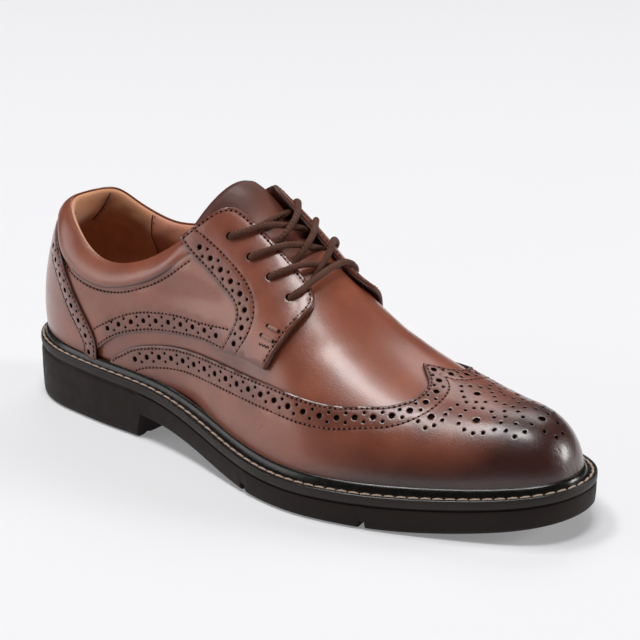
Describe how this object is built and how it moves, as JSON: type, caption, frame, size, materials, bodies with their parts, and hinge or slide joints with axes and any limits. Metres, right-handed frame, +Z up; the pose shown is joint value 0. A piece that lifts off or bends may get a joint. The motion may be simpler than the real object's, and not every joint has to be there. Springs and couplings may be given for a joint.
{
  "type": "dress shoe",
  "caption": "Wing-tip derby dress shoe for the right foot: hollow leather upper with padded collar and laced facings on a welted rubber sole with a block heel.",
  "frame": {"origin": "on the floor, under the middle of the shoe's bounding box", "axes": "+X from heel to toe, +Y to the inner (medial) side of this right shoe, +Z up"},
  "size_m": [0.303, 0.1095, 0.1238],
  "materials": {
    "sole_rubber": "matte",
    "welt_rubber": "satin",
    "lining": "suede",
    "leather": "burnished, satin gloss",
    "tongue_leather": "satin gloss",
    "lace_cord": "waxed cord"
  },
  "bodies": {
    "root": {"outsole": "sole_rubber", "welt": "welt_rubber", "insole": "lining", "upper": "leather", "tongue": "tongue_leather", "facing_lateral": "leather", "facing_medial": "leather", "lace": "lace_cord"}
  },
  "joints": []
}
